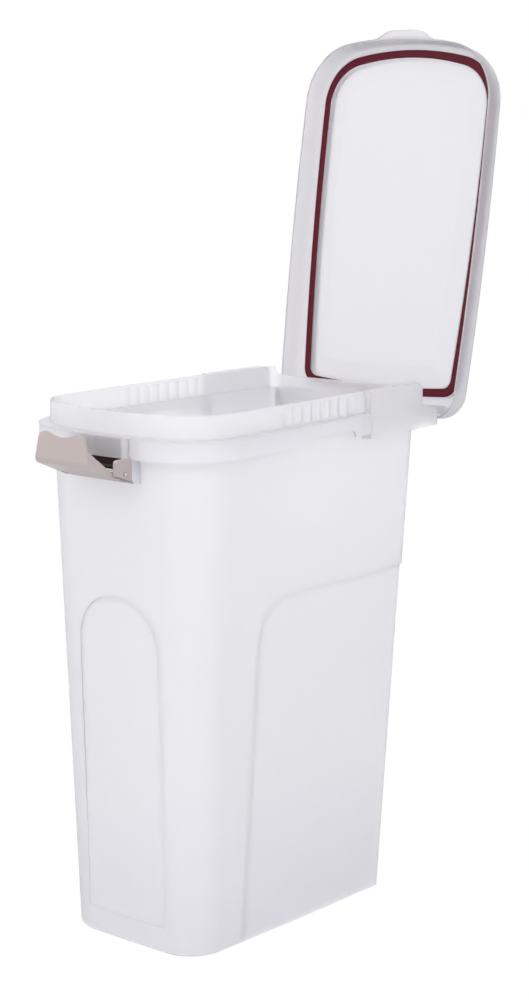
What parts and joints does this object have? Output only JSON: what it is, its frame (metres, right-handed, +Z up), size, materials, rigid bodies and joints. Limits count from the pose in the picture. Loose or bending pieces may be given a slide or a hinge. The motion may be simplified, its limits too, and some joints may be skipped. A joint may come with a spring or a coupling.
{
  "type": "pet food storage bin",
  "caption": "Tall tapered storage bin for dry pet food, with a seal ring in a hinged lid that stands open and a latch on a steel rod at the front.",
  "frame": {"origin": "on the floor, on the plane of symmetry, halfway between the front and rear of the rim", "axes": "+Z up, +Y to the hinge at the rear, -Y to the latch at the front, +X to the side on the right of one who faces the hinge from the latch"},
  "size_m": [0.2786, 0.6005, 0.9998],
  "materials": {
    "tub": "satin",
    "lid": "satin",
    "gasket": "matte",
    "latch": "satin",
    "rod": "polished",
    "spring": "satin",
    "pin": "satin"
  },
  "bodies": {
    "tub": {"tub": "tub", "latch_rod": "rod", "latch_spring": "spring"},
    "lid": {"lid": "lid", "lid_gasket": "gasket", "hinge_pin_left": "pin", "hinge_pin_right": "pin"},
    "latch": {"latch": "latch"}
  },
  "joints": [
    {"name": "lid_hinge", "type": "hinge", "parent": "tub", "child": "lid", "pos_m": [0, 0.22, 0.5618], "axis": [1, 0, 0], "range_deg": [0, 99.2]},
    {"name": "latch_hinge", "type": "hinge", "parent": "tub", "child": "latch", "pos_m": [0, -0.2244, 0.5395], "axis": [-1, 0, 0], "range_deg": [0, 51]}
  ]
}
